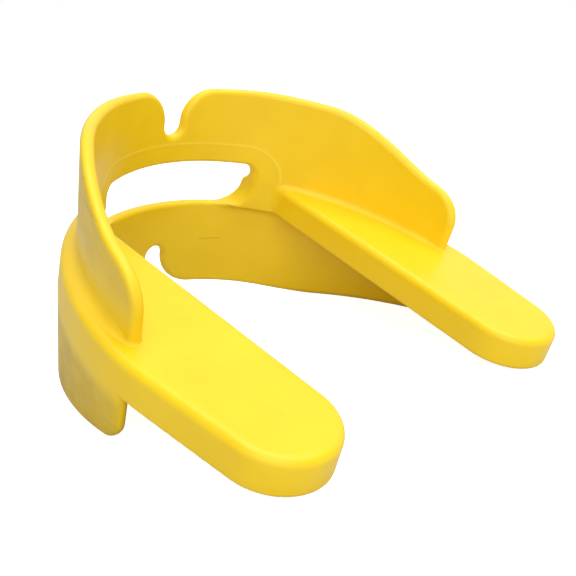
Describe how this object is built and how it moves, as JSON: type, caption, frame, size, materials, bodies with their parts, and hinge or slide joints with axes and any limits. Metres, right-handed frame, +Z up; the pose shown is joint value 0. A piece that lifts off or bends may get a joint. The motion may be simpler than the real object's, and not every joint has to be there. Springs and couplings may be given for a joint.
{
  "type": "double-arch mouthguard",
  "caption": "Soft one-piece double-arch mouthguard: lip shields above and below the bite plates, with a breathing slot between them.",
  "frame": {"origin": "middle of the bounding box at the base, which is the table that the guard rests on, on the edge of its lower shield and the tips of its plates", "axes": "+X to the wearer's left, +Y from the lips towards the back of the mouth, +Z up from the table; the bite plane is tilted 17.8 degrees about X, with the plate tips down"},
  "size_m": [0.064, 0.06, 0.036],
  "materials": {
    "moulding": "satin, soft injection-moulded bright yellow"
  },
  "bodies": {
    "root": {"upper_lip_shield": "moulding", "lower_lip_shield": "moulding", "left_bite_plate": "moulding", "right_bite_plate": "moulding"}
  },
  "joints": []
}
